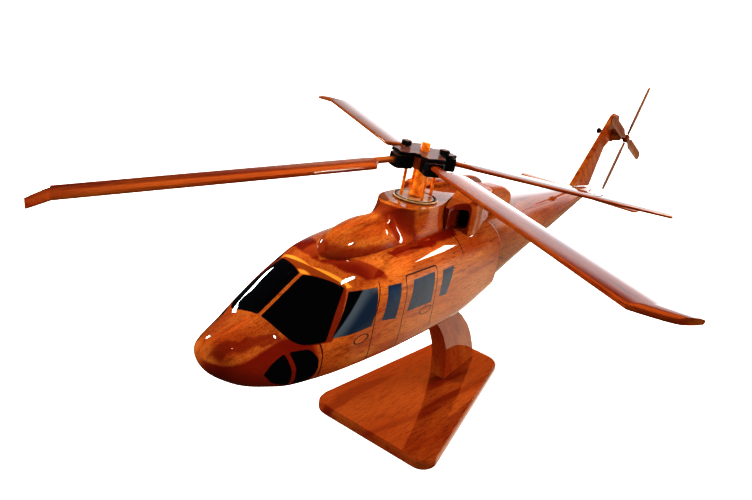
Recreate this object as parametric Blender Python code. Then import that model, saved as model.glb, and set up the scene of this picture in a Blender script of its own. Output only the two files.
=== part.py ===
"""Carved hardwood helicopter scale model on a display stand. Metres, +Z up, nose towards -Y."""
import math
import bpy
import bmesh
from mathutils import Matrix, Vector

MM = 0.001
GAP = 0.3

# Stand (millimetres, base plate underside centred on the world origin)
BASE_LENGTH = 103.0
BASE_FRONT_HALF = 37.4
BASE_REAR_HALF = 17.6
BASE_THICK = 6.0
BASE_CORNER_R = 8.0
BASE_EASE = 1.2
ARM_THICK = 9.2
PEG_R = 3.0
PEG_TOP = 92.0
PEG_FOOT = 63.0
PEG_Y = -12.0
SCREW_R = 1.8
SCREW_HEAD_R = 3.6
SCREW_Y = (19.0, 36.0)

# Airframe placement
HUB_Y = -34.2
HUB_Z = 141.7
PITCH_DEG = 7.7

# Cabin block: y, half width, crown z, widest z, keel z, crown roundness, keel roundness
CABIN = (
    (-113.5, 3.2, -54.0, -57.0, -59.6, 1.8, 2.0),
    (-112.3, 6.9, -51.6, -57.4, -61.8, 1.7, 2.0),
    (-109.0, 11.3, -49.9, -58.0, -64.4, 1.6, 2.1),
    (-104.0, 15.0, -48.9, -58.5, -66.9, 1.5, 2.3),
    (-97.0, 18.6, -47.6, -58.8, -68.2, 1.5, 2.6),
    (-90.4, 21.2, -45.9, -58.2, -68.9, 1.5, 3.0),
    (-80.0, 23.7, -40.0, -55.1, -68.7, 1.6, 3.8),
    (-70.0, 25.1, -34.4, -52.2, -68.7, 1.8, 4.6),
    (-60.0, 25.4, -30.7, -50.3, -68.9, 2.2, 5.4),
    (-50.0, 25.7, -28.5, -48.6, -69.1, 2.7, 6.0),
    (-30.0, 26.2, -26.7, -47.2, -69.4, 3.0, 6.4),
    (0.0, 26.2, -25.6, -47.2, -69.2, 3.0, 6.4),
    (20.0, 26.2, -25.4, -47.2, -67.6, 3.0, 6.4),
    (46.5, 25.7, -25.8, -47.0, -60.4, 3.0, 6.0),
)
# Tail boom, same columns
BOOM = (
    (46.8, 24.4, -25.9, -44.4, -60.0, 2.6, 4.6),
    (60.0, 22.8, -26.4, -43.6, -58.6, 2.6, 4.2),
    (83.0, 20.0, -27.4, -42.8, -56.4, 2.5, 3.8),
    (106.0, 17.6, -28.5, -42.0, -54.0, 2.4, 3.4),
    (130.0, 15.2, -29.8, -41.2, -51.2, 2.4, 3.2),
    (150.0, 13.0, -31.0, -40.6, -48.8, 2.4, 3.0),
    (172.0, 10.4, -32.4, -40.0, -46.0, 2.4, 2.8),
    (198.0, 7.0, -34.3, -39.2, -43.0, 2.4, 2.8),
    (214.0, 4.9, -36.0, -39.1, -41.8, 2.4, 2.8),
    (227.0, 2.8, -37.6, -39.3, -41.0, 2.4, 2.8),
)
BOOM_FRONT = 46.8
# Rotor pylon: y, foot half width, deck half width, deck z, dome (1) or collar (0)
PYLON = (
    (-58.8, 1.8, 0.8, -28.2, 1.0),
    (-57.0, 4.4, 2.2, -26.9, 1.0),
    (-53.0, 7.8, 3.6, -24.6, 1.0),
    (-46.0, 10.4, 4.6, -22.0, 1.0),
    (-39.0, 11.6, 5.0, -20.3, 1.0),
    (-32.0, 12.2, 4.6, -19.0, 0.9),
    (-27.0, 12.6, 3.6, -18.0, 0.5),
    (-22.0, 12.9, 3.6, -16.2, 0.1),
    (-18.6, 13.1, 5.6, -14.8, 0.0),
    (-15.6, 13.1, 8.8, -14.6, 0.0),
    (-10.0, 13.1, 11.2, -14.6, 0.0),
    (-4.0, 13.0, 11.9, -14.6, 0.0),
    (4.0, 12.8, 11.6, -14.6, 0.0),
    (14.0, 11.6, 8.8, -14.6, 0.0),
    (28.0, 8.2, 4.8, -15.0, 0.0),
    (45.0, 6.0, 3.8, -16.4, 0.0),
    (60.0, 5.0, 3.2, -19.4, 0.0),
    (73.0, 3.8, 2.6, -25.4, 0.0),
)
MAST_R = 2.0
MAST_TOP = 10.1
MAST_FOOT = -22.6
DISC_Z = -13.6
DISC_BASE = -14.2
DISC_R = 9.9

# Engine cowls: y, outer half width, top z
COWL = (
    (8.6, 12.9, -16.6),
    (13.0, 13.8, -15.6),
    (16.0, 15.6, -15.0),
    (17.6, 17.4, -14.8),
    (18.2, 18.7, -14.7),
    (18.6, 19.2, -14.6),
    (22.0, 20.2, -13.8),
    (28.0, 19.6, -12.8),
    (36.0, 17.0, -12.2),
    (47.8, 13.8, -11.9),
)
# Exhaust fairings: y, outer half width, top z, underside z
EXHAUST = (
    (48.1, 13.5, -11.9, -25.2),
    (60.0, 13.3, -12.6, -25.2),
    (67.0, 13.1, -14.4, -25.6),
    (71.5, 12.8, -17.0, -26.0),
    (73.6, 12.4, -20.2, -26.4),
)
INTAKE_X = 15.6
INTAKE_Z = -21.8
INTAKE_W = 2.8
INTAKE_H = 4.2
INTAKE_FLOOR = 23.0

# Fin outline (y, z), straight-sided board
FIN = (
    (192.4, -33.0), (235.0, 10.6), (238.4, 12.2), (245.0, 10.8), (247.8, 6.2), (248.6, 0.0),
    (247.6, -4.8), (243.8, -7.2), (238.0, -6.2), (231.0, -9.8), (222.0, -37.0),
)
FIN_HALF = 1.7
TAIL_Y = 243.3
TAIL_Z = -2.4
TAIL_X = 10.4
TAIL_R = 37.5
TAIL_CHORD = 6.6
TAIL_PSI = 66.1
TAIL_PITCH = (7.0, 3.0, -7.0, -3.0)
TAIL_TOE = -4.0
# Stabilator half outline (x, y)
STAB_TIP = 41.0
STAB = ((0.0, 202.0, 221.4), (0.5, 203.0, 218.4), (0.94, 204.0, 215.6), (1.0, 205.6, 214.2))
STAB_Z = -39.4
STAB_THICK = 2.2

# Main rotor
BLADE_R = 155.6
BLADE_AZ = (240.7, 324.6, 58.1, 141.2)
BLADE_TIP_Z = (-18.7, 7.6, -17.2, -4.6)
BLADE_CHORD = 13.0
BLADE_THICK = 2.4
BLADE_NECK = 4.8
BLADE_ROOT = 8.4
BLADE_SWEEP = 7.5
BLADE_OFFSET = 3.0
BLADE_KINK = 147.4
BLADE_PIVOT = 10.0
BLADE_Z = 2.8
HUB_TOP = 4.8
HUB_LOW = -0.8
STAR_TOP = 6.6
STUD_AT = 8.6
ARM_IN = 6.4
ARM_OUT = 14.6
ARM_HALF = 4.3
ROD_AT = 7.2
ROD_R = 0.7

COLOURS = {
    "mahogany": ((0.40, 0.10, 0.025), 0.18, 0.0),
    "mahogany_dark": ((0.28, 0.055, 0.015), 0.18, 0.0),
    "black_paint": ((0.012, 0.012, 0.013), 0.3, 0.0),
    "cream_paint": ((0.78, 0.68, 0.48), 0.4, 0.0),
    "copper_rod": ((0.60, 0.24, 0.08), 0.3, 1.0),
    "steel": ((0.55, 0.55, 0.56), 0.35, 1.0),
}


def material(slot):
    """Return the one material for a slot, made on first use."""
    found = bpy.data.materials.get(slot)
    if found:
        return found
    colour, rough, metal = COLOURS[slot]
    mat = bpy.data.materials.new(slot)
    mat.use_nodes = True
    shader = mat.node_tree.nodes["Principled BSDF"]
    shader.inputs["Base Color"].default_value = (*colour, 1.0)
    shader.inputs["Roughness"].default_value = rough
    shader.inputs["Metallic"].default_value = metal
    return mat


def empty(name, parent, at, turn=(0.0, 0.0, 0.0)):
    """Add an empty at a millimetre position with an Euler turn in degrees."""
    obj = bpy.data.objects.new(name, None)
    bpy.context.collection.objects.link(obj)
    obj.parent = parent
    obj.location = [c * MM for c in at]
    obj.rotation_euler = [math.radians(a) for a in turn]
    return obj


def solid(name, slot, parent, verts, faces, at=(0.0, 0.0, 0.0), turn=(0.0, 0.0, 0.0)):
    """Add one closed body from millimetre vertices, faces turned outwards."""
    mesh = bpy.data.meshes.new(name)
    bm = bmesh.new()
    made = [bm.verts.new([c * MM for c in v]) for v in verts]
    for face in faces:
        bm.faces.new([made[i] for i in face])
    bmesh.ops.recalc_face_normals(bm, faces=bm.faces[:])
    bm.to_mesh(mesh)
    bm.free()
    obj = bpy.data.objects.new(name, mesh)
    bpy.context.collection.objects.link(obj)
    mesh.materials.append(material(slot))
    obj.parent = parent
    obj.location = [c * MM for c in at]
    obj.rotation_euler = [math.radians(a) for a in turn]
    return obj


def loft(rings):
    """Join equal rings of points into one capped body."""
    count = len(rings[0])
    verts = [p for ring in rings for p in ring]
    faces = [list(range(count)), list(range(len(verts) - count, len(verts)))]
    for row in range(len(rings) - 1):
        low = row * count
        for i in range(count):
            j = (i + 1) % count
            faces.append((low + i, low + j, low + count + j, low + count + i))
    return verts, faces


def turned(profile, segments=24):
    """Revolve a (radius, z) profile about Z; a start radius above zero leaves a bore."""
    rings = []
    for k in range(segments):
        a = 2.0 * math.pi * k / segments
        rings.append([(r * math.cos(a), r * math.sin(a), z) for r, z in profile])
    count = len(profile)
    verts = [p for ring in rings for p in ring]
    faces = []
    for k in range(segments):
        n = (k + 1) % segments
        for i in range(count):
            j = (i + 1) % count
            faces.append((k * count + i, k * count + j, n * count + j, n * count + i))
    return verts, faces


def rod(radius, low, high, segments=20, ease=0.0):
    """Closed round rod along Z with optionally eased ends."""
    stack = [(radius, low), (radius, high)]
    if ease:
        stack = [(radius - ease, low), (radius, low + ease), (radius, high - ease), (radius - ease, high)]
    rings = []
    for r, z in stack:
        turn = [2.0 * math.pi * k / segments for k in range(segments)]
        rings.append([(r * math.cos(a), r * math.sin(a), z) for a in turn])
    return loft(rings)


def board(outline, low, high, axis=2, ease=0.0):
    """Extrude a flat outline along an axis, with optional eased rims."""
    centre = [sum(p[i] for p in outline) / len(outline) for i in (0, 1)]
    levels = [(low, 0.0), (high, 0.0)]
    if ease:
        levels = [(low, ease), (low + ease, 0.0), (high - ease, 0.0), (high, ease)]
    rings = []
    for level, inset in levels:
        ring = []
        for p in outline:
            d = (p[0] - centre[0], p[1] - centre[1])
            length = math.hypot(*d)
            k = 1.0 - inset / length
            q = [centre[0] + d[0] * k, centre[1] + d[1] * k]
            q.insert(axis, level)
            ring.append(tuple(q))
        rings.append(ring)
    return loft(rings)


def smooth(table, at):
    """Cubic interpolation of every column of a table at a station."""
    last = len(table) - 1
    if at <= table[0][0]:
        return table[0][1:]
    if at >= table[last][0]:
        return table[last][1:]
    i = max(k for k in range(last) if table[k][0] <= at)
    a, b = table[i], table[i + 1]
    span = b[0] - a[0]
    t = (at - a[0]) / span
    out = []
    for c in range(1, len(a)):
        before = table[max(i - 1, 0)]
        after = table[min(i + 2, last)]
        rise = (b[c] - a[c]) / span
        left = (b[c] - before[c]) / (b[0] - before[0]) if i else rise
        right = (after[c] - a[c]) / (after[0] - a[0]) if i + 2 <= last else rise
        before_rise = (a[c] - before[c]) / (a[0] - before[0]) if i else rise
        after_rise = (after[c] - b[c]) / (after[0] - b[0]) if i + 2 <= last else rise
        left = 0.0 if before_rise * rise <= 0.0 else left
        right = 0.0 if after_rise * rise <= 0.0 else right
        h = t * t * (3.0 - 2.0 * t)
        out.append(a[c] + (b[c] - a[c]) * h
                   + span * (left * t * (1.0 - t) ** 2 - right * t * t * (1.0 - t)))
    return out


def stations(first, last, step, extra=()):
    """Even stations between two ends plus extra ones, sorted."""
    count = max(1, round((last - first) / step))
    even = [first + (last - first) * k / count for k in range(count + 1)]
    kept = [y for y in even if all(abs(y - e) > 0.3 * step for e in extra) or y in (first, last)]
    return sorted(set(kept) | set(extra))


def hull_ring(table, y, count=40):
    """Rounded hull section at a station."""
    width, top, mid, low, round_top, round_low = smooth(table, y)
    ring = []
    for k in range(count):
        a = 2.0 * math.pi * (k + 0.5) / count
        c, s = math.cos(a), math.sin(a)
        power = round_top if s > 0 else round_low
        reach = (top - mid) if s > 0 else (mid - low)
        x = width * math.copysign(abs(c) ** (2.0 / power), c)
        z = mid + reach * math.copysign(abs(s) ** (2.0 / power), s)
        ring.append((x, y, z))
    return ring


def roof(x, y):
    """Height of the hull crown under a point, the higher one where cabin and boom meet."""
    heights = []
    for table, here in ((CABIN, y < BOOM_FRONT + 4.0), (BOOM, y > BOOM_FRONT - 4.0)):
        if here:
            width, top, mid, low, round_top, round_low = smooth(table, y)
            u = min(0.999, abs(x) / width)
            heights.append(mid + (top - mid) * (1.0 - u ** round_top) ** (1.0 / round_top))
    return max(heights)


def seat(x, y):
    """Highest hull crown near a point, so a glued-on part stays clear of it."""
    return max(roof(x, y + d) for d in (-0.6, 0.0, 0.6)) + GAP


def pylon_side(y, t):
    """Half width and height of the pylon wall, t from foot (0) to deck (1)."""
    foot, deck, top, dome = smooth(PYLON, y)
    low = seat(foot, y)
    x_flare = deck + (foot - deck) * (1.0 - t) ** 1.9
    z_flare = low + (top - low) * t
    a = 0.5 * math.pi * t
    x_dome = foot * math.cos(a) ** 0.9 + 0.35 * deck * t * (1.0 - math.cos(a))
    z_dome = low + (top - low) * math.sin(a)
    return (x_flare + (x_dome - x_flare) * dome, z_flare + (z_dome - z_flare) * dome)


def pylon_wall(y, z):
    """Half width of the pylon wall at a height."""
    wall = [pylon_side(y, k / 12.0) for k in range(13)]
    if z <= wall[0][1]:
        return wall[0][0]
    for (x0, z0), (x1, z1) in zip(wall, wall[1:]):
        if z0 <= z <= z1:
            return x0 + (x1 - x0) * (z - z0) / max(1e-6, z1 - z0)
    return wall[-1][0]


def cut(target, cutter):
    """Take one body out of another for good."""
    cutter.hide_render = True
    cutter.display_type = "WIRE"
    mod = target.modifiers.new(cutter.name, "BOOLEAN")
    mod.operation = "DIFFERENCE"
    mod.solver = "EXACT"
    mod.object = cutter


def build_stand():
    """Base plate, curved arm, dowel and the two screws that hold the arm."""
    half = 0.5 * BASE_LENGTH
    corners = ((-BASE_FRONT_HALF, -half), (BASE_FRONT_HALF, -half),
               (BASE_REAR_HALF, half), (-BASE_REAR_HALF, half))
    outline = []
    for i, here in enumerate(corners):
        here = Vector(here)
        to_last = (Vector(corners[i - 1]) - here).normalized()
        to_next = (Vector(corners[(i + 1) % 4]) - here).normalized()
        angle = to_last.angle(to_next)
        reach = BASE_CORNER_R / math.tan(0.5 * angle)
        centre = here + (to_last + to_next).normalized() * BASE_CORNER_R / math.sin(0.5 * angle)
        first = here + to_last * reach - centre
        last = here + to_next * reach - centre
        sweep = first.angle_signed(last)
        for k in range(9):
            turn = Matrix.Rotation(-sweep * k / 8.0, 2)
            outline.append(tuple(centre + turn @ first))
    base = solid("base_plate", "mahogany", None, *board(outline, 0.0, BASE_THICK, ease=BASE_EASE))
    belly = HUB_Z - 66.2
    front = [(11.8, BASE_THICK + GAP), (11.4, 12.0), (10.2, 20.4), (7.8, 29.0), (3.4, 38.0),
             (-2.6, 46.4), (-9.8, 54.6), (-17.4, 62.0), (-24.4, 67.4)]
    rear = [(-7.6, 67.4), (1.0, 61.0), (10.6, 52.8), (20.2, 44.4), (28.6, 35.2), (34.8, 26.0),
            (39.4, 16.6), (42.2, 9.6), (43.0, BASE_THICK + GAP)]
    crown = [arm_top(-29.0 + 2.7 * k) for k in range(8)]
    profile = front + crown + rear
    arm = solid("stand_arm", "mahogany", None, *board(profile, -0.5 * ARM_THICK, 0.5 * ARM_THICK, 0, 0.0))
    hole = solid("cut_peg_foot", "mahogany", None, *rod(PEG_R + GAP, PEG_FOOT - GAP, belly + 20.0))
    hole.location.y = PEG_Y * MM
    cut(arm, hole)
    peg = solid("stand_peg", "mahogany_dark", None, *rod(PEG_R, PEG_FOOT, PEG_TOP, ease=0.5))
    peg.location.y = PEG_Y * MM
    for label, y in zip(("front", "rear"), SCREW_Y):
        head = [(SCREW_HEAD_R, 1.0), (SCREW_HEAD_R, 1.4), (SCREW_R, 3.2), (SCREW_R, 15.0), (0.3, 17.4)]
        rings = []
        for r, z in head:
            turn = [2.0 * math.pi * k / 20 for k in range(20)]
            rings.append([(r * math.cos(a), r * math.sin(a), z) for a in turn])
        screw = solid("arm_screw_" + label, "steel", None, *loft(rings))
        screw.location.y = y * MM
        wide = [(r + GAP, z) for r, z in head]
        rings = []
        for r, z in [(wide[0][0], -1.0), wide[1], wide[2], (wide[3][0], 15.3), (0.6, 17.9)]:
            turn = [2.0 * math.pi * k / 20 for k in range(20)]
            rings.append([(r * math.cos(a), r * math.sin(a), z) for a in turn])
        bore = solid("cut_screw_" + label, "steel", None, *loft(rings))
        bore.location.y = y * MM
        cut(base, bore)
        cut(arm, bore)


def to_airframe(y, z):
    """World (y, z) in millimetres to the airframe's own (y, z)."""
    a = math.radians(PITCH_DEG)
    dy, dz = y - HUB_Y, z - HUB_Z
    return (dy * math.cos(a) - dz * math.sin(a), dy * math.sin(a) + dz * math.cos(a))


def arm_top(y):
    """Point of the arm's crown just below the keel, at a world station."""
    z = HUB_Z - 66.0
    for _ in range(4):
        local_y, local_z = to_airframe(y, z)
        keel = min(smooth(CABIN, local_y + d)[3] for d in (-0.6, 0.0, 0.6))
        z += keel - GAP - 0.05 - local_z
    return (y, z)


def build_hull(air):
    """Cabin block and tail boom."""
    rows = stations(CABIN[0][0], CABIN[-1][0], 5.0, (-113.0, -112.3, -111.0, -109.0, -106.5, -104.0))
    cabin = solid("cabin_body", "mahogany", air, *loft([hull_ring(CABIN, y) for y in rows]))
    bore = solid("cut_peg_bore", "mahogany", None, *rod(PEG_R + GAP, 50.0, PEG_TOP + 1.0))
    bore.location.y = PEG_Y * MM
    cut(cabin, bore)
    rows = stations(BOOM_FRONT, BOOM[-1][0], 9.0)
    solid("tail_boom", "mahogany", air, *loft([hull_ring(BOOM, y) for y in rows]))


def build_pylon(air):
    """Rotor pylon with its front dome, and the collar let into its deck."""
    rings = []
    rows = stations(-58.8, 73.0, 3.2, (-58.0, -57.0, -16.0, -14.5, -13.0))
    for y in rows:
        wall = [pylon_side(y, k / 8.0) for k in range(9)]
        foot = wall[0][0]
        under = [foot * (1.0 - 2.0 * k / 8.0) for k in range(1, 8)]
        ring = [(x, y, z) for x, z in wall]
        top = wall[-1]
        crown = 0.25 * (0.1 + smooth(PYLON, y)[3])
        ring += [(top[0] * k, y, top[1] + crown * (1.0 - k * k)) for k in (0.5, 0.0, -0.5)]
        ring += [(-x, y, z) for x, z in reversed(wall)]
        ring += [(-x, y, seat(x, y)) for x in under]
        rings.append(ring)
    pylon = solid("rotor_pylon", "mahogany", air, *loft(rings))
    bore = solid("cut_mast_bore", "mahogany", air, *rod(MAST_R + GAP, MAST_FOOT - GAP, 0.0))
    cut(pylon, bore)
    ring = [(9.3, DISC_BASE), (DISC_R, DISC_BASE), (DISC_R, DISC_Z - 0.2),
            (DISC_R - 0.2, DISC_Z), (9.3, DISC_Z)]
    solid("collar_ring", "cream_paint", air, *turned(ring, 40))
    seal = [(8.4, DISC_BASE), (9.0, DISC_BASE), (9.0, DISC_Z), (8.4, DISC_Z)]
    solid("collar_seal", "black_paint", air, *turned(seal, 40))


def build_cowls(air, side, label):
    """Engine cowl, black intake and exhaust fairing of one side."""
    rows = stations(8.6, 47.8, 3.4, (13.0, 16.0, 17.2, 17.8, 18.2, 18.6))
    rings = []
    for y in rows:
        outer, top = smooth(COWL, y)
        ring = []
        inner_low = smooth(PYLON, y)[0] + GAP + 0.1
        outer = max(outer, inner_low + 0.6)
        for k in range(7):
            x = inner_low + (outer - inner_low) * k / 6.0
            ring.append((side * x, y, seat(x, y)))
        low = seat(outer, y)
        fade = 0.28 * (outer - inner_low) + 0.4
        for u, v in ((0.0, 0.35), (0.02, 0.6), (0.10, 0.8), (0.35, 0.94), (1.0, 1.0)):
            ring.append((side * (outer - fade * u), y, low + (top - low) * v))
        for k in (0.66, 0.33, 0.0):
            inside = pylon_wall(y, top) + GAP + 0.1
            ring.append((side * (inside + (outer - fade - inside) * k), y, top))
        for k in (0.75, 0.5, 0.25):
            z = seat(inner_low, y) + (top - seat(inner_low, y)) * k
            ring.append((side * (pylon_wall(y, z) + GAP + 0.1), y, z))
        rings.append(ring)
    cowl = solid("engine_cowl_" + label, "mahogany", air, *loft(rings))
    for grow, depth, name in ((GAP, INTAKE_FLOOR, "cut_intake_"), (0.0, INTAKE_FLOOR - GAP, "intake_")):
        lip = 10.0 if grow else 19.6
        rings = []
        for y in (lip, depth):
            ring = []
            for k in range(24):
                a = 2.0 * math.pi * k / 24
                c, s = math.cos(a), math.sin(a)
                x = INTAKE_X + (INTAKE_W + grow) * math.copysign(abs(c) ** 0.6, c)
                z = INTAKE_Z + (INTAKE_H + grow) * math.copysign(abs(s) ** 0.6, s)
                ring.append((side * x, y, z))
            rings.append(ring)
        made = solid(name + label, "black_paint", air, *loft(rings))
        if grow:
            cut(cowl, made)
    rings = []
    for y in stations(48.1, 73.6, 3.4, (71.5, 72.8)):
        outer, top, low = smooth(EXHAUST, y)
        inner = max(4.0, pylon_wall(min(y, 73.0), top) + GAP + 0.4)
        foot = max(4.4, smooth(PYLON, min(y, 73.0))[0] + GAP + 0.4)
        low = max(low, max(seat(inner + (outer - inner) * k / 6.0, y) for k in range(7)))
        ring = [(foot, low), (outer - 1.0, low), (outer, low + 1.4), (outer, top - 2.2),
                (outer - 0.6, top - 0.9), (outer - 2.0, top), (inner + 1.0, top), (inner, top - 0.8)]
        rings.append([(side * x, y, z) for x, z in ring])
    solid("exhaust_fairing_" + label, "mahogany", air, *loft(rings))


def build_tail(air):
    """Fin, stabilator halves and the tail gearbox housings."""
    fin = solid("tail_fin", "mahogany", air, *board(fin_outline(), -FIN_HALF, FIN_HALF, 0, 0.5))
    bore = solid("cut_axle_fin", "steel", air, *rod(1.2 + GAP, -24.0, 6.0), at=(TAIL_X, TAIL_Y, TAIL_Z),
                 turn=(0.0, 90.0, TAIL_TOE))
    cut(fin, bore)
    for side, label, reach, small in ((1.0, "port", 6.9, 2.5), (-1.0, "starboard", 6.0, 2.1)):
        rings = []
        for t, r, back, up in ((0.0, 4.4, -2.4, 0.6), (0.35, 3.5, -1.2, 0.3),
                               (0.7, small + 0.3, -0.3, 0.1), (1.0, small, 0.0, 0.0)):
            x = FIN_HALF + GAP + (reach - FIN_HALF - GAP) * t
            ring = []
            for k in range(20):
                a = 2.0 * math.pi * k / 20
                ring.append((side * x, TAIL_Y + back + r * math.cos(a), TAIL_Z + up + r * math.sin(a)))
            rings.append(ring)
        case = solid("tail_gearbox_" + label, "mahogany_dark", air, *loft(rings))
        cut(case, bore)
        rings = []
        for t, lead, trail in STAB:
            x = side * (stab_root(t) + (STAB_TIP - stab_root(t)) * t)
            half = 0.5 * STAB_THICK * (1.0 - 0.35 * t)
            span = trail - lead
            lead_z = ((0.0, 0.0), (0.06, 0.8), (0.3, 1.0), (0.7, 0.8), (1.0, 0.2))
            ring = [(x, lead + span * u, STAB_Z + half * v) for u, v in lead_z]
            ring += [(x, lead + span * u, STAB_Z - half * v) for u, v in reversed(lead_z[1:])]
            rings.append(ring)
        solid("stabilator_" + label, "mahogany", air, *loft(rings))


def stab_root(t):
    """Half width where a stabilator half meets the boom."""
    return max(smooth(BOOM, 201.0)[0], smooth(BOOM, 205.0)[0]) + GAP


def fin_outline():
    """Fin outline with its foot kept clear of the boom crown."""
    foot = []
    for k in range(7):
        y = FIN[-1][0] - (FIN[-1][0] - FIN[0][0]) * k / 6.0
        foot.append((y, max(roof(0.0, y + d) for d in (-1.5, 0.0, 1.5)) + GAP + 0.1))
    return list(FIN[1:-1]) + foot


def blade_ring(r, centre, chord, thick):
    """Blade section at a radius: rounded nose, thin tail."""
    shape = ((0.5, 0.0), (0.46, 0.55), (0.3, 0.95), (0.0, 1.0), (-0.3, 0.75), (-0.5, 0.25))
    ring = [(r, centre + chord * u, 0.5 * thick * v) for u, v in shape]
    ring += [(r, centre + chord * u, -0.5 * thick * v) for u, v in reversed(shape[1:])]
    return ring


def build_main_rotor(air):
    """Mast, head, grips, control rods and four blades."""
    head = empty("main_rotor_axis", air, (0.0, 0.0, 0.0))
    flare = [(0.8, MAST_FOOT), (MAST_R, MAST_FOOT + 0.6), (MAST_R, DISC_Z + GAP + 0.1),
             (3.2, DISC_Z + GAP + 0.2), (3.0, DISC_Z + 1.4), (2.3, DISC_Z + 3.4), (MAST_R, DISC_Z + 5.6),
             (MAST_R, MAST_TOP - 0.3), (MAST_R - 0.3, MAST_TOP)]
    rings = []
    for r, z in flare:
        turn = [2.0 * math.pi * k / 24 for k in range(24)]
        rings.append([(r * math.cos(a), r * math.sin(a), z) for a in turn])
    solid("rotor_mast", "copper_rod", head, *loft(rings))
    plate = [(MAST_R + GAP, DISC_BASE), (8.1, DISC_BASE), (8.1, DISC_Z), (MAST_R + GAP, DISC_Z)]
    solid("swash_plate", "cream_paint", head, *turned(plate, 40))
    shaft = solid("cut_mast_head", "steel", head, *rod(MAST_R + GAP, -8.0, 14.0))
    core = []
    for az in BLADE_AZ:
        for off, r in ((-45.0, 7.4), (-28.0, 7.0), (0.0, ARM_IN - GAP - 0.1), (28.0, 7.0)):
            a = math.radians(az + off)
            core.append((r * math.cos(a), r * math.sin(a)))
    core.sort(key=lambda p: math.atan2(p[1], p[0]))
    cut(solid("hub_core", "mahogany_dark", head, *board(core, HUB_LOW + 0.4, HUB_TOP, ease=0.3)), shaft)
    star = []
    for az in BLADE_AZ:
        for off, r in ((-45.0, 9.0), (-34.0, 9.0), (-27.0, 12.0), (-15.0, 14.4), (0.0, 13.2), (15.0, 14.4),
                       (27.0, 12.0), (34.0, 9.0)):
            a = math.radians(az + off)
            star.append((r * math.cos(a), r * math.sin(a)))
    star.sort(key=lambda p: math.atan2(p[1], p[0]))
    cut(solid("hub_star", "black_paint", head, *board(star, HUB_TOP + GAP, STAR_TOP, ease=0.3)), shaft)
    for label, az in (("a", BLADE_AZ[0] - 45.6), ("b", BLADE_AZ[0] + 134.4)):
        a = math.radians(az)
        knob = rod(2.2, STAR_TOP + GAP, STAR_TOP + 2.6, 16, 0.3)
        stud = solid("head_stud_" + label, "black_paint", head, *knob)
        stud.location = [STUD_AT * math.cos(a) * MM, STUD_AT * math.sin(a) * MM, 0.0]
    for n, (az, tip) in enumerate(zip(BLADE_AZ, BLADE_TIP_Z), 1):
        build_blade(head, n, az, math.degrees(math.asin((BLADE_Z - tip) / (BLADE_R - BLADE_PIVOT))))


def build_blade(head, n, azimuth, droop):
    """One grip, knob, control rod and blade, all pointing along a radius."""
    root = empty("grip_axis_%d" % n, head, (0.0, 0.0, 0.0), (0.0, 0.0, azimuth))
    block = [(ARM_IN, -ARM_HALF + 0.6), (ARM_OUT - 1.2, -ARM_HALF), (ARM_OUT, -ARM_HALF + 1.2),
             (ARM_OUT, ARM_HALF - 1.2), (ARM_OUT - 1.2, ARM_HALF), (ARM_IN, ARM_HALF - 0.6)]
    grip = solid("blade_grip_%d" % n, "black_paint", root, *board(block, HUB_LOW, HUB_TOP, ease=0.3))
    slot_half = 0.5 * BLADE_NECK + GAP
    back = BLADE_ROOT - BLADE_PIVOT
    slot = [(back - GAP, -slot_half), (20.0, -slot_half), (20.0, slot_half), (back - GAP, slot_half)]
    deep = 0.5 * BLADE_THICK + GAP
    cutter = solid("cut_grip_%d" % n, "black_paint", root, *board(slot, -deep, deep),
                   at=(BLADE_PIVOT, 0.0, BLADE_Z), turn=(0.0, droop, 0.0))
    cut(grip, cutter)
    link = rod(ROD_R, DISC_Z + GAP, HUB_LOW - GAP, 12)
    solid("pitch_rod_%d" % n, "copper_rod", root, *link, at=(ROD_AT, 0.0, 0.0))
    rings = []
    neck = BLADE_NECK / BLADE_CHORD
    tip = BLADE_R - BLADE_KINK
    off = BLADE_OFFSET
    plan = ((BLADE_ROOT, 0.0, neck), (22.0, 0.0, neck), (23.6, 0.37 * off, 0.62), (25.4, 0.9 * off, 0.95),
            (27.0, off, 1.0), (90.0, off, 1.0), (BLADE_KINK, off, 1.0),
            (BLADE_KINK + 0.25 * tip, off + 1.7, 0.97), (BLADE_KINK + 0.8 * tip, off + 5.8, 0.84),
            (BLADE_R, off + BLADE_SWEEP, 0.72))
    for r, centre, chord in plan:
        rings.append(blade_ring(r - BLADE_PIVOT, centre, chord * BLADE_CHORD, BLADE_THICK))
    solid("main_blade_%d" % n, "mahogany", root, *loft(rings),
          at=(BLADE_PIVOT, 0.0, BLADE_Z), turn=(0.0, droop, 0.0))


def build_tail_rotor(air):
    """Axle, hub, retaining knob and four blades."""
    head = empty("tail_rotor_axis", air, (TAIL_X, TAIL_Y, TAIL_Z), (0.0, 90.0, TAIL_TOE))
    solid("tail_axle", "steel", head, *rod(1.2, -TAIL_X - 8.4, -1.7, 16))
    knob = rod(1.9, -TAIL_X - 8.6 - GAP - 1.6, -TAIL_X - 8.4 - GAP, 16, 0.3)
    solid("tail_retainer", "black_paint", head, *knob)
    solid("tail_hub", "mahogany_dark", head, *rod(2.7, -1.7 + GAP, 2.0, 20, 0.6))
    for n in range(4):
        # local X of the tilted empty points down the airframe, local Y aft
        angle = TAIL_PSI + 90.0 * n
        root = empty("tail_pitch_axis_%d" % (n + 1), head, (0.0, 0.0, 0.3), (0.0, 0.0, angle + 90.0))
        rings = []
        for r, chord, thick in ((3.2, 2.6, 1.4), (6.0, 3.0, 1.4), (9.5, TAIL_CHORD, 1.2),
                                (30.0, TAIL_CHORD, 1.1), (35.0, TAIL_CHORD * 0.94, 1.0),
                                (TAIL_R, TAIL_CHORD * 0.6, 0.9)):
            rings.append(blade_ring(r, 0.0, chord, thick))
        solid("tail_blade_%d" % (n + 1), "mahogany", root, *loft(rings), turn=(TAIL_PITCH[n], 0.0, 0.0))


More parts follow.
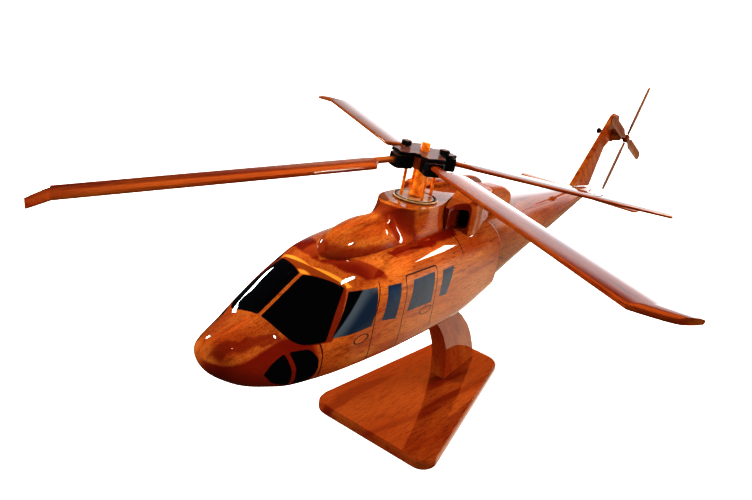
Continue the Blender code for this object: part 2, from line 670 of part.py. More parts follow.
def main():
    """Build the whole model."""
    for obj in list(bpy.data.objects):
        bpy.data.objects.remove(obj, do_unlink=True)
    air = empty("airframe", None, (0.0, HUB_Y, HUB_Z), (-PITCH_DEG, 0.0, 0.0))
    build_stand()
    build_hull(air)
    build_pylon(air)
    build_cowls(air, 1.0, "port")
    build_cowls(air, -1.0, "starboard")
    build_tail(air)
    build_main_rotor(air)
    build_tail_rotor(air)


main()
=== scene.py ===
"""Looks of a lacquered hardwood helicopter model: skins, wood, paint, floor, light and camera."""
import math
import bpy
import bmesh
from mathutils import Matrix, Vector


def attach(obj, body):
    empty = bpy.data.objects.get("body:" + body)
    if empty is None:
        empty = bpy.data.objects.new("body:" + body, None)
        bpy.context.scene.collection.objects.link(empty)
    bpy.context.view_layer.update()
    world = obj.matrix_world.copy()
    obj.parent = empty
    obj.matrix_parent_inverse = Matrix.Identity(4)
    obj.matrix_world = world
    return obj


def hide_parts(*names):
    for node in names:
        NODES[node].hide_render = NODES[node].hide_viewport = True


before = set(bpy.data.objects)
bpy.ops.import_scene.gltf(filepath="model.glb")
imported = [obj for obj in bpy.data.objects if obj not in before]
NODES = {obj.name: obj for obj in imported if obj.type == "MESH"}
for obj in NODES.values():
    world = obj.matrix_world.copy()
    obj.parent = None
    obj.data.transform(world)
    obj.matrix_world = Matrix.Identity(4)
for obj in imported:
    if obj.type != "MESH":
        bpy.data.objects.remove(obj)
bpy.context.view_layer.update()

MM = 0.001
HUB_Y = -34.2
HUB_Z = 141.7
PITCH_DEG = 7.7
AIR = (Matrix.Translation((0.0, HUB_Y * MM, HUB_Z * MM))
       @ Matrix.Rotation(math.radians(-PITCH_DEG), 4, "X"))
# Turn and shift that take world coordinates to airframe millimetres, for pieces kept in world coordinates
AIR_TURN = (math.radians(PITCH_DEG), 0.0, 0.0)
AIR_SHIFT = (0.0, 52.88, -135.84)

# Hull sections in airframe mm: y, half width, crown z, widest z, keel z, crown roundness, keel roundness
CABIN = (
    (-113.5, 3.2, -54.0, -57.0, -59.6, 1.8, 2.0),
    (-112.3, 6.9, -51.6, -57.4, -61.8, 1.7, 2.0),
    (-109.0, 11.3, -49.9, -58.0, -64.4, 1.6, 2.1),
    (-104.0, 15.0, -48.9, -58.5, -66.9, 1.5, 2.3),
    (-97.0, 18.6, -47.6, -58.8, -68.2, 1.5, 2.6),
    (-90.4, 21.2, -45.9, -58.2, -68.9, 1.5, 3.0),
    (-80.0, 23.7, -40.0, -55.1, -68.7, 1.6, 3.8),
    (-70.0, 25.1, -34.4, -52.2, -68.7, 1.8, 4.6),
    (-60.0, 25.4, -30.7, -50.3, -68.9, 2.2, 5.4),
    (-50.0, 25.7, -28.5, -48.6, -69.1, 2.7, 6.0),
    (-30.0, 26.2, -26.7, -47.2, -69.4, 3.0, 6.4),
    (0.0, 26.2, -25.6, -47.2, -69.2, 3.0, 6.4),
    (20.0, 26.2, -25.4, -47.2, -67.6, 3.0, 6.4),
    (46.5, 25.7, -25.8, -47.0, -60.4, 3.0, 6.0),
)
BOOM = (
    (46.8, 24.4, -25.9, -44.4, -60.0, 2.6, 4.6),
    (60.0, 22.8, -26.4, -43.6, -58.6, 2.6, 4.2),
    (83.0, 20.0, -27.4, -42.8, -56.4, 2.5, 3.8),
    (106.0, 17.6, -28.5, -42.0, -54.0, 2.4, 3.4),
    (130.0, 15.2, -29.8, -41.2, -51.2, 2.4, 3.2),
    (150.0, 13.0, -31.0, -40.6, -48.8, 2.4, 3.0),
    (172.0, 10.4, -32.4, -40.0, -46.0, 2.4, 2.8),
    (198.0, 7.0, -34.3, -39.2, -43.0, 2.4, 2.8),
    (214.0, 4.9, -36.0, -39.1, -41.8, 2.4, 2.8),
    (227.0, 2.8, -37.6, -39.3, -41.0, 2.4, 2.8),
)
# Rotor pylon: y, foot half width, deck half width, deck z, dome (1) or collar (0)
PYLON = (
    (-58.8, 1.8, 0.8, -28.2, 1.0),
    (-57.0, 4.4, 2.2, -26.9, 1.0),
    (-53.0, 7.8, 3.6, -24.6, 1.0),
    (-46.0, 10.4, 4.6, -22.0, 1.0),
    (-39.0, 11.6, 5.0, -20.3, 1.0),
    (-32.0, 12.2, 4.6, -19.0, 0.9),
    (-27.0, 12.6, 3.6, -18.0, 0.5),
    (-22.0, 12.9, 3.6, -16.2, 0.1),
    (-18.6, 13.1, 5.6, -14.8, 0.0),
    (-15.6, 13.1, 8.8, -14.6, 0.0),
    (-10.0, 13.1, 11.2, -14.6, 0.0),
    (-4.0, 13.0, 11.9, -14.6, 0.0),
    (4.0, 12.8, 11.6, -14.6, 0.0),
    (14.0, 11.6, 8.8, -14.6, 0.0),
    (28.0, 8.2, 4.8, -15.0, 0.0),
    (45.0, 6.0, 3.8, -16.4, 0.0),
    (60.0, 5.0, 3.2, -19.4, 0.0),
    (73.0, 3.8, 2.6, -25.4, 0.0),
)
# Dark red of painted shade; darker red of the A-pillar, also used as painted shade on the intake lips
SHADE_RED = (0.17, 0.009, 0.003, 1.0)
PILLAR_RED = (0.15, 0.008, 0.003, 1.0)
GRAIN_BUMP = (0.12, 0.00015)
# Setback (in rim sizes) and inset of the rings of a rounded end rim
END_RIM = ((0.0, 1.0), (0.1, 0.62), (0.32, 0.28), (0.62, 0.06))
# Main rotor: azimuths in degrees, tip heights and sizes in airframe mm
BLADE_AZ = (240.7, 324.6, 58.1, 141.2)
BLADE_TIP_Z = (-18.7, 7.6, -17.2, -4.6)
BLADE_R = 155.6
BLADE_KINK = 147.4
BLADE_PIVOT = 10.0
BLADE_Z = 2.8
BLADE_CHORD = 13.0
BLADE_NECK = 4.8
BLADE_THICK = 2.4
BLADE_ROOT = 8.4
BLADE_SWEEP = 7.5
BLADE_OFFSET = 3.0


class Net:
    """A material's node tree, built by short calls."""

    def __init__(self, name, roughness=0.35, coat=1.0, coat_rough=0.03, **fixed):
        self.mat = bpy.data.materials.new(name)
        self.mat.use_nodes = True
        self.tree = self.mat.node_tree
        self.shader = self.tree.nodes["Principled BSDF"]
        self.shader.inputs["Roughness"].default_value = roughness
        self.shader.inputs["Specular IOR Level"].default_value = 0.0
        self.shader.inputs["Coat Weight"].default_value = coat
        self.shader.inputs["Coat Roughness"].default_value = coat_rough
        for key, value in fixed.items():
            self.shader.inputs[key.replace("_", " ")].default_value = value

    def add(self, kind, inputs=None, **props):
        node = self.tree.nodes.new("ShaderNode" + kind)
        for key, value in props.items():
            setattr(node, key, value)
        for key, value in (inputs or {}).items():
            self.put(node.inputs[key], value)
        return node

    def put(self, socket, value):
        if isinstance(value, bpy.types.NodeSocket):
            self.tree.links.new(value, socket)
        else:
            socket.default_value = value

    def calc(self, op, a, b=0.0, c=0.0, clamp=False):
        return self.add("Math", {0: a, 1: b, 2: c}, operation=op, use_clamp=clamp).outputs[0]

    def mix(self, factor, a, b):
        node = self.add("Mix", data_type="RGBA")
        for socket, value in zip((node.inputs[0], node.inputs[6], node.inputs[7]), (factor, a, b)):
            self.put(socket, value)
        return node.outputs[2]

    def ramp(self, value, low, high, bottom=0.0, top=1.0):
        return self.add("MapRange", {0: value, 1: low, 2: high, 3: bottom, 4: top},
                        interpolation_type="SMOOTHSTEP").outputs[0]

    def noise(self, coords, stretch, scale, detail=4.0, rough=0.55, distort=0.0):
        moved = self.add("Mapping", {"Vector": coords, "Scale": stretch}).outputs[0]
        return self.add("TexNoise", {"Vector": moved, "Scale": scale, "Detail": detail,
                                     "Roughness": rough, "Distortion": distort}).outputs[0]

    def out(self, base, bump=None, strength=0.1, distance=0.0002):
        self.put(self.shader.inputs["Base Color"], base)
        if bump is not None:
            made = self.add("Bump", {"Height": bump, "Strength": strength, "Distance": distance})
            self.put(self.shader.inputs["Normal"], made.outputs[0])
        return self.mat


def coordinates(net, turn=None, shift=(0.0, 0.0, 0.0)):
    """Object coordinates in millimetres, optionally turned into a piece's own frame."""
    coords = net.add("TexCoord").outputs["Object"]
    if turn is not None:
        coords = net.add("Mapping", {"Vector": coords, "Rotation": turn}).outputs[0]
    to_mm = (1.0 / MM, 1.0 / MM, 1.0 / MM)
    return net.add("Mapping", {"Vector": coords, "Location": shift, "Scale": to_mm}).outputs[0]


def wood(net, coords, grain, tone=1.0, figure=1.0, red=1.0, stain=0.0):
    """Lacquered straight-grained hardwood: colour and a grain height, long axis given by grain."""
    long_way = [1.0, 1.0, 1.0]
    long_way[grain] = 0.10
    figure_way = [1.0, 1.0, 1.0]
    figure_way[grain] = 0.22
    pore_way = [1.0, 1.0, 1.0]
    pore_way[grain] = 0.055
    bands = net.noise(coords, figure_way, 0.055 * figure, 3.0, 0.5, 0.8)
    heart_and_shade = net.noise(coords, figure_way, 0.075 * figure, 2.0, 0.45, 1.4)
    streaks = net.noise(coords, long_way, 0.42, 5.0, 0.62, 0.4)
    fibres = net.noise(coords, pore_way, 2.6, 4.0, 0.7, 0.2)
    pores = net.noise(coords, pore_way, 4.2, 2.0, 0.5)
    light = [c * tone for c in (0.58, 0.195, 0.034)] + [1.0]
    middle = [c * tone for c in (0.40, 0.082, 0.011)] + [1.0]
    dark = [c * tone for c in (0.17, 0.014, 0.003)] + [1.0]
    deep = [c * tone for c in (0.20, 0.010, 0.002)] + [1.0]
    colour = net.mix(net.ramp(bands, 0.36, 0.68), middle, light)
    colour = net.mix(stain, colour, (0.25, 0.010, 0.002, 1.0))
    colour = net.mix(net.ramp(heart_and_shade, 0.60, 0.72, 0.0, 0.80 * red), colour, deep)
    colour = net.mix(net.ramp(streaks, 0.48, 0.76, 0.0, 0.62), colour, dark)
    colour = net.mix(net.ramp(fibres, 0.42, 0.70, 0.0, 0.50), colour, dark)
    colour = net.mix(net.ramp(pores, 0.57, 0.67, 0.0, 0.72), colour, (0.10, 0.012, 0.003, 1.0))
    return colour, fibres


def polygon(net, u, v, points, soft=0.12, corner=0.5):
    """Mask (1 inside, 0 outside) and signed distance of a convex polygon with rounded corners."""
    area = sum(a[0] * b[1] - b[0] * a[1] for a, b in zip(points, points[1:] + points[:1]))
    sign = 1.0 if area > 0 else -1.0
    reach = None
    for a, b in zip(points, points[1:] + points[:1]):
        du, dv = b[0] - a[0], b[1] - a[1]
        size = math.hypot(du, dv)
        nu, nv = sign * dv / size, -sign * du / size
        off = -(nu * a[0] + nv * a[1])
        side = net.calc("MULTIPLY_ADD", v, nv, net.calc("MULTIPLY_ADD", u, nu, off))
        reach = side if reach is None else net.calc("SMOOTH_MAX", reach, side, corner)
    return net.ramp(reach, -soft, soft, 1.0, 0.0), reach


def outline(net, reach, half):
    """Mask of a thin line along a distance's zero."""
    return net.ramp(net.calc("ABSOLUTE", reach), half * 0.5, half * 1.5, 1.0, 0.0)


def smooth(table, at):
    """Cubic interpolation of every column of a table at a station."""
    last = len(table) - 1
    if at <= table[0][0]:
        return table[0][1:]
    if at >= table[last][0]:
        return table[last][1:]
    i = max(k for k in range(last) if table[k][0] <= at)
    a, b = table[i], table[i + 1]
    span = b[0] - a[0]
    t = (at - a[0]) / span
    out = []
    for c in range(1, len(a)):
        before = table[max(i - 1, 0)]
        after = table[min(i + 2, last)]
        rise = (b[c] - a[c]) / span
        left = (b[c] - before[c]) / (b[0] - before[0]) if i else rise
        right = (after[c] - a[c]) / (after[0] - a[0]) if i + 2 <= last else rise
        before_rise = (a[c] - before[c]) / (a[0] - before[0]) if i else rise
        after_rise = (after[c] - b[c]) / (after[0] - b[0]) if i + 2 <= last else rise
        left = 0.0 if before_rise * rise <= 0.0 else left
        right = 0.0 if after_rise * rise <= 0.0 else right
        h = t * t * (3.0 - 2.0 * t)
        out.append(a[c] + (b[c] - a[c]) * h
                   + span * (left * t * (1.0 - t) ** 2 - right * t * t * (1.0 - t)))
    return out


def hull_ring(table, y, count=112, inset=0.0, at=None):
    """Rounded hull section at a station."""
    width, top, mid, low, round_top, round_low = smooth(table, y)
    ring = []
    for k in range(count):
        a = 2.0 * math.pi * (k + 0.5) / count
        c, s = math.cos(a), math.sin(a)
        power = round_top if s > 0 else round_low
        reach = (top - mid) if s > 0 else (mid - low)
        x = (width - inset) * math.copysign(abs(c) ** (2.0 / power), c)
        z = mid + (reach - inset) * math.copysign(abs(s) ** (2.0 / power), s)
        ring.append((x, y if at is None else at, z))
    return ring


def roof(x, y):
    """Height of the hull crown under a point."""
    heights = []
    for table, here in ((CABIN, y < 50.8), (BOOM, y > 42.8)):
        if here:
            width, top, mid, low, round_top, round_low = smooth(table, y)
            u = min(0.999, abs(x) / width)
            heights.append(mid + (top - mid) * (1.0 - u ** round_top) ** (1.0 / round_top))
    return max(heights)


def seat(x, y):
    """Hull crown near a point plus the glue gap."""
    return max(roof(x, y + d) for d in (-0.6, 0.0, 0.6)) + 0.1


def spread(first, last, step):
    """Even stations between two ends."""
    count = max(1, round((last - first) / step))
    return [first + (last - first) * k / count for k in range(count + 1)]


def piece(name, rings, body, node, mat, place, angle=32.0):
    """One closed smooth-shaded skin from rings of millimetre points, standing for a CAD node."""
    count = len(rings[0])
    mesh = bpy.data.meshes.new(name)
    bm = bmesh.new()
    made = [bm.verts.new([c * MM for c in p]) for ring in rings for p in ring]
    for row in range(len(rings) - 1):
        low = row * count
        for i in range(count):
            j = (i + 1) % count
            bm.faces.new([made[k] for k in (low + i, low + j, low + count + j, low + count + i)])
    bm.faces.new(made[:count])
    bm.faces.new(made[-count:])
    bmesh.ops.recalc_face_normals(bm, faces=bm.faces[:])
    bm.to_mesh(mesh)
    bm.free()
    mesh.polygons.foreach_set("use_smooth", [True] * len(mesh.polygons))
    mesh.set_sharp_from_angle(angle=math.radians(angle))
    mesh.materials.append(mat)
    obj = bpy.data.objects.new(name, mesh)
    bpy.context.scene.collection.objects.link(obj)
    obj.matrix_world = place
    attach(obj, body)
    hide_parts(node)
    return obj


def capped(table, first, last, step, ease):
    """Rings of a hull block with rounded end rims."""
    rings = []
    for back, inset in END_RIM:
        rings.append(hull_ring(table, first, inset=ease * inset, at=first + ease * back))
    for y in spread(first + ease, last - ease, step):
        rings.append(hull_ring(table, y))
    for back, inset in reversed(END_RIM):
        rings.append(hull_ring(table, last, inset=ease * inset, at=last - ease * back))
    return rings


def pylon_side(y, t):
    """Half width and height of the pylon wall, t from foot (0) to deck (1)."""
    foot, deck, top, dome = smooth(PYLON, y)
    low = seat(foot, y)
    x_flare = deck + (foot - deck) * (1.0 - t) ** 1.9
    z_flare = low + (top - low) * t
    a = 0.5 * math.pi * t
    x_dome = foot * math.cos(a) ** 0.9 + 0.35 * deck * t * (1.0 - math.cos(a))
    z_dome = low + (top - low) * math.sin(a)
    return (x_flare + (x_dome - x_flare) * dome, z_flare + (z_dome - z_flare) * dome)


# Outlines in airframe mm of painted panes, of painted light and shade and of engraved lines: the first four
# in plan (x, y), the rest in side view (y, z)
WINDSHIELD = [(0.8, -90.6), (10.0, -90.0), (15.1, -88.6), (18.2, -86.2), (20.3, -83.0),
              (22.2, -78.6), (15.6, -63.7), (0.8, -70.4)]
BROW_LIT_BAND = [(-1.0, -70.8), (16.0, -63.4), (17.2, -60.9), (-1.0, -66.0)]
ROOF_SHADE = (
    [(0.0, -62.0), (11.0, -59.4), (19.5, -54.0), (22.5, -44.0), (19.0, -42.0), (11.0, -50.0),
     (0.0, -56.0)],
    [(13.2, -36.0), (17.8, -34.0), (18.0, 12.0), (13.2, 14.0)],
)
NOSE_BLADE_SHADOW = [(1.0, -113.5), (5.0, -113.0), (13.4, -90.8), (9.4, -90.8)]
PILLAR = [(-84.0, -51.4), (-80.5, -44.0), (-66.5, -32.0), (-62.6, -35.2), (-76.4, -50.6)]
COCKPIT_REFLECTION = [(-77.0, -50.5), (-55.5, -34.5), (-40.0, -33.0), (-40.0, -53.0), (-77.0, -53.0)]
SIDE_PANES = (
    [(-75.9, -49.5), (-63.2, -36.7), (-51.6, -35.7), (-56.0, -49.4)],
    [(-49.6, -48.9), (-46.3, -36.1), (-38.5, -36.2), (-40.2, -50.4)],
    [(-32.6, -49.5), (-30.3, -36.7), (-14.6, -36.6), (-14.2, -50.2)],
    [(-8.2, -49.2), (-8.2, -37.3), (1.1, -37.2), (-2.0, -49.7)],
)
CHIN_PANES = (
    [(-102.4, -58.4), (-99.3, -55.7), (-93.0, -53.3), (-92.6, -64.8), (-98.6, -62.6)],
    [(-91.4, -53.1), (-84.7, -52.3), (-82.4, -55.5), (-82.0, -60.2), (-84.6, -64.4),
     (-91.0, -65.0)],
)
CABIN_DOOR = [(-35.3, -34.3), (-13.0, -34.3), (-9.8, -80.0), (-35.3, -80.0)]
BADGES = ((-61.1, -53.4), (-17.9, -52.8))


def cabin_lacquer():
    """Wood with the painted panes and the engraved door lines of the cabin, and with painted light and shade:
    a lit brow band, painted shade on the lower nose and the roof, a painted blade shadow on the nose and a
    painted reflection on the cockpit pane.
    """
    net = Net("cabin_lacquer")
    coords = coordinates(net)
    colour, fibres = wood(net, coords, 1)
    split = net.add("SeparateXYZ", {0: coords}).outputs
    across, along, height = net.calc("ABSOLUTE", split[0]), split[1], split[2]
    upper = net.ramp(height, -52.8, -52.4)
    # Painted light: a brighter band where the brow above the windshield catches the light
    band = polygon(net, across, along, BROW_LIT_BAND, 0.3, 0.4)[0]
    band = net.calc("MULTIPLY", band, upper)
    wave = net.noise(coords, (1.0, 0.6, 1.0), 0.22, 4.0, 0.6)
    drift = net.calc("MULTIPLY_ADD", wave, 5.0, -2.5)
    wavy_across, wavy_along = net.calc("ADD", across, drift), net.calc("ADD", along, drift)
    # Painted shade on the lower nose above the chin panes, where the surface turns away from the light
    above_chin = net.calc("SUBTRACT", height, net.calc("MULTIPLY_ADD", wavy_along, 0.28, -24.6))
    heart_and_shade = net.calc("MULTIPLY", net.ramp(above_chin, -0.5, 0.5, 1.0, 0.0),
                     net.ramp(along, -84.0, -81.2, 1.0, 0.0))
    heart_and_shade = net.calc("MULTIPLY", heart_and_shade, net.ramp(split[0], -5.0, 1.0))
    # Painted shade streaks on the roof round the dome and beside the pylon
    above = net.ramp(height, -40.0, -37.0)
    for streak in ROOF_SHADE:
        shade_band = polygon(net, wavy_across, wavy_along, streak, 0.7, 1.2)[0]
        heart_and_shade = net.calc("MAXIMUM", heart_and_shade, net.calc("MULTIPLY", shade_band, above))
    # Painted shadow of a rotor blade across the nose
    nose = polygon(net, net.calc("ADD", split[0], drift), along, NOSE_BLADE_SHADOW, 0.6, 0.3)[0]
    nose = net.calc("MULTIPLY", nose, net.ramp(height, -56.0, -54.0, 0.0, 0.75))
    heart_and_shade = net.calc("MAXIMUM", heart_and_shade, nose)
    # All the painted shade goes in as dark red
    colour = net.mix(net.calc("MULTIPLY", heart_and_shade, 0.93), colour, SHADE_RED)
    # The painted light of the brow band goes in as bright orange
    colour = net.mix(net.calc("MULTIPLY", band, 0.88), colour, (0.92, 0.355, 0.045, 1.0))
    pillar = polygon(net, along, height, PILLAR, 0.2, 0.3)[0]
    colour = net.mix(net.calc("MULTIPLY", pillar, 0.85), colour, PILLAR_RED)
    lines = None
    for reach, half in engraved(net, across, along, height):
        mark = outline(net, reach, half)
        lines = mark if lines is None else net.calc("MAXIMUM", lines, mark)
    colour = net.mix(net.calc("MULTIPLY", lines, 0.95), colour, (0.02, 0.003, 0.002, 1.0))
    glass = net.calc("MULTIPLY", polygon(net, across, along, WINDSHIELD, 0.12, 1.2)[0], upper)
    for pane in CHIN_PANES:
        glass = net.calc("MAXIMUM", glass, polygon(net, along, height, pane, 0.12, 1.4)[0])
    cockpit = polygon(net, along, height, SIDE_PANES[0], 0.12, 0.6)[0]
    side = cockpit
    for pane in SIDE_PANES[1:]:
        side = net.calc("MAXIMUM", side, polygon(net, along, height, pane, 0.12, 0.3)[0])
    tint = net.noise(coords, (1.0, 1.0, 1.0), 0.2, 2.0)
    pane_blue = net.mix(net.ramp(tint, 0.3, 0.7), (0.010, 0.026, 0.058, 1.0), (0.016, 0.040, 0.080, 1.0))
    colour = net.mix(side, colour, pane_blue)
    colour = net.mix(net.calc("MAXIMUM", glass, cockpit), colour, (0.002, 0.002, 0.003, 1.0))
    # Painted reflection: a grey sheen over part of the cockpit pane
    sheen, depth = polygon(net, along, height, COCKPIT_REFLECTION, 0.25, 0.5)
    grey = net.mix(net.ramp(depth, -4.0, -0.3), (0.013, 0.028, 0.052, 1.0),
                   (0.08, 0.10, 0.115, 1.0))
    colour = net.mix(net.calc("MULTIPLY", cockpit, sheen), colour, grey)
    grooved = net.calc("SUBTRACT", fibres, net.calc("MULTIPLY", lines, 3.0))
    return net.out(colour, grooved, *GRAIN_BUMP)


def engraved(net, across, along, height):
    """Distances, in millimetres, to the engraved lines of both flanks."""
    door = polygon(net, along, height, CABIN_DOOR, 0.1, 2.6)[1]
    below_pillar = net.ramp(height, -50.9, -50.5)
    front = net.calc("ADD", net.calc("ABSOLUTE", net.calc("ADD", along, 80.8)),
                     net.calc("MULTIPLY", below_pillar, 9.0))
    lean = net.add("MapRange", {0: height, 1: -45.0, 2: -35.0, 3: -54.4, 4: -50.2}).outputs[0]
    above_roof = net.ramp(height, -34.4, -34.0)
    rear = net.calc("ADD", net.calc("ABSOLUTE", net.calc("SUBTRACT", along, lean)),
                    net.calc("MULTIPLY", above_roof, 9.0))
    found = [(door, 0.25), (front, 0.25), (rear, 0.25)]
    for y, z in BADGES:
        du = net.calc("MULTIPLY_ADD", along, 1.0 / 4.2, -y / 4.2)
        dv = net.calc("MULTIPLY_ADD", height, 1.0 / 1.7, -z / 1.7)
        squares = net.calc("ADD", net.calc("POWER", du, 2.0), net.calc("POWER", dv, 2.0))
        round_reach = net.calc("SQRT", squares)
        found.append((net.calc("MULTIPLY_ADD", round_reach, 2.6, -2.6), 0.26))
    seam = net.calc("ABSOLUTE", net.calc("SUBTRACT", along, 9.6))
    outer = net.calc("MULTIPLY", net.ramp(across, 16.0, 16.6),
                     net.ramp(across, 24.2, 24.6, 1.0, 0.0))
    crown = net.calc("MULTIPLY", outer, net.ramp(height, -34.6, -34.2))
    found.append((net.calc("ADD", seam, net.calc("MULTIPLY_ADD", crown, -9.0, 9.0)), 0.24))
    return found


def plain_wood(name, grain=1, turn=None, shift=(0.0, 0.0, 0.0), tone=1.0, figure=1.0, red=1.0,
               stain=0.0):
    """Undecorated lacquered wood."""
    net = Net(name)
    colour, fibres = wood(net, coordinates(net, turn, shift), grain, tone, figure, red, stain)
    return net.out(colour, fibres, *GRAIN_BUMP)


def pylon_lacquer():
    """Wood with painted shade on the collar front and at the foot of the dome."""
    net = Net("pylon_lacquer")
    coords = coordinates(net)
    colour, fibres = wood(net, coords, 1)
    split = net.add("SeparateXYZ", {0: coords}).outputs
    wave = net.noise(coords, (1.0, 0.5, 1.0), 0.25, 3.0)
    along = net.calc("MULTIPLY_ADD", wave, 3.0, split[1])
    height = net.calc("MULTIPLY_ADD", wave, 1.4, split[2])
    # Painted shade on the front wall of the collar
    front = net.calc("MULTIPLY", net.ramp(along, -28.0, -24.0),
                     net.ramp(along, -13.5, -11.0, 1.0, 0.0))
    front = net.calc("MULTIPLY", front, net.ramp(split[2], -15.2, -14.9, 0.82, 0.1))
    # Painted shade along the foot of the pylon, strongest at the dome
    foot = net.calc("MULTIPLY", net.ramp(height, -25.6, -23.6, 0.75, 0.0),
                    net.ramp(along, -2.0, 12.0, 1.0, 0.3))
    colour = net.mix(net.calc("MAXIMUM", front, foot), colour, SHADE_RED)
    return net.out(colour, fibres, *GRAIN_BUMP)


def cowl_lacquer():
    """Wood with painted shade on the lip round the engine intakes."""
    net = Net("cowl_lacquer")
    coords = coordinates(net, AIR_TURN, AIR_SHIFT)
    colour, fibres = wood(net, coords, 1)
    along = net.add("SeparateXYZ", {0: coords}).outputs[1]
    # Painted shade: the cowl front round the intake is darkened
    lip = net.ramp(along, 18.5, 19.3, 0.88, 0.0)
    colour = net.mix(lip, colour, PILLAR_RED)
    return net.out(colour, fibres, *GRAIN_BUMP)


def paint(name, colour, speck, roughness, coat, lit_top=None):
    """Brushed paint with slight unevenness in tone and gloss, and optionally a painted highlight on upward
    faces.
    """
    net = Net(name, roughness=roughness, coat=coat, coat_rough=0.08)
    coords = coordinates(net)
    cloud = net.noise(coords, (1.0, 1.0, 1.0), 0.5, 4.0)
    brush = net.noise(coords, (1.0, 1.0, 0.15), 4.0, 3.0)
    sheen = net.ramp(cloud, 0.3, 0.7, roughness * 0.75, roughness * 1.3)
    net.put(net.shader.inputs["Roughness"], sheen)
    mixed = net.mix(net.ramp(cloud, 0.35, 0.7), (*colour, 1.0), (*speck, 1.0))
    # Painted highlight: faces turned upward take a lighter colour
    if lit_top is not None:
        facing = net.add("SeparateXYZ", {0: net.add("NewGeometry").outputs["Normal"]}).outputs[2]
        mixed = net.mix(net.ramp(facing, 0.75, 0.93), mixed, (*lit_top, 1.0))
    return net.out(mixed, brush, 0.15, 0.0001)


def metal(name, bright, dull, roughness, axis_stretch):
    """Drawn rod: polished metal with fine drawing lines and a little tarnish."""
    net = Net(name, roughness=roughness, coat=0.0, Metallic=1.0)
    coords = coordinates(net)
    tarnish = net.noise(coords, (1.0, 1.0, 1.0), 0.6, 4.0, 0.6, 0.5)
    lines = net.noise(coords, axis_stretch, 5.0, 3.0)
    sheen = net.ramp(lines, 0.3, 0.7, roughness * 0.8, roughness * 1.4)
    net.put(net.shader.inputs["Roughness"], sheen)
    mixed = net.mix(net.ramp(tarnish, 0.35, 0.7), (*bright, 1.0), (*dull, 1.0))
    return net.out(mixed, lines, 0.12, 0.0001)


def build_hull():
    """Cabin and boom skins."""
    rings = []
    bow = hull_ring(CABIN, -112.3)
    for k in range(1, 12):
        f = k / 12.0
        rings.append([(x * f, -114.0 + 1.7 * f * f, -57.0 + (z + 57.0) * f) for x, y, z in bow])
    for y in spread(-112.3, -104.0, 0.6) + spread(-102.6, 45.8, 1.4):
        rings.append(hull_ring(CABIN, y))
    for back, inset in reversed(END_RIM):
        rings.append(hull_ring(CABIN, 46.5, inset=0.7 * inset, at=46.5 - 0.7 * back))
    piece("cabin_skin", rings, "helicopter", "cabin_body", cabin_lacquer(), AIR)
    rings = capped(BOOM, 46.8, 227.0, 2.5, 0.5)
    lacquer = plain_wood("boom_lacquer", shift=(40, 9, 17), tone=0.8)
    piece("boom_skin", rings, "helicopter", "tail_boom", lacquer, AIR)


def build_pylon():
    """Rotor pylon skin with its front dome."""
    rings = []
    steps = 28
    for y in spread(-58.8, 73.0, 1.1):
        wall = [pylon_side(y, k / steps) for k in range(steps + 1)]
        foot, top = wall[0][0], wall[-1]
        crown = 0.25 * (0.1 + smooth(PYLON, y)[3])
        ring = [(x, y, z) for x, z in wall]
        ring += [(top[0] * k, y, top[1] + crown * (1.0 - k * k)) for k in (0.5, 0.0, -0.5)]
        ring += [(-x, y, z) for x, z in reversed(wall)]
        across = [foot * (1.0 - 2.0 * k / 8.0) for k in range(7, 0, -1)]
        ring += [(x, y, seat(x, y) - 0.05) for x in across]
        rings.append(ring)
    piece("pylon_skin", rings, "helicopter", "rotor_pylon", pylon_lacquer(), AIR, 38.0)


def blade_ring(r, centre, chord, thick):
    """Blade section at a radius: rounded nose, crowned top, thin tail."""
    ring = []
    for k in range(32):
        a = 2.0 * math.pi * k / 32
        c, s = math.cos(a), math.sin(a)
        u = 0.5 * math.copysign(abs(c) ** 0.9, c)
        level = (0.42 + 0.50 * (1.0 - 4.0 * u * u)) if s > 0 else -(0.60 + 0.30 * (1.0 - 4.0 * u * u))
        ring.append((r, centre + chord * u, 0.5 * thick * level * min(1.0, abs(s) * 3.0)))
    return ring


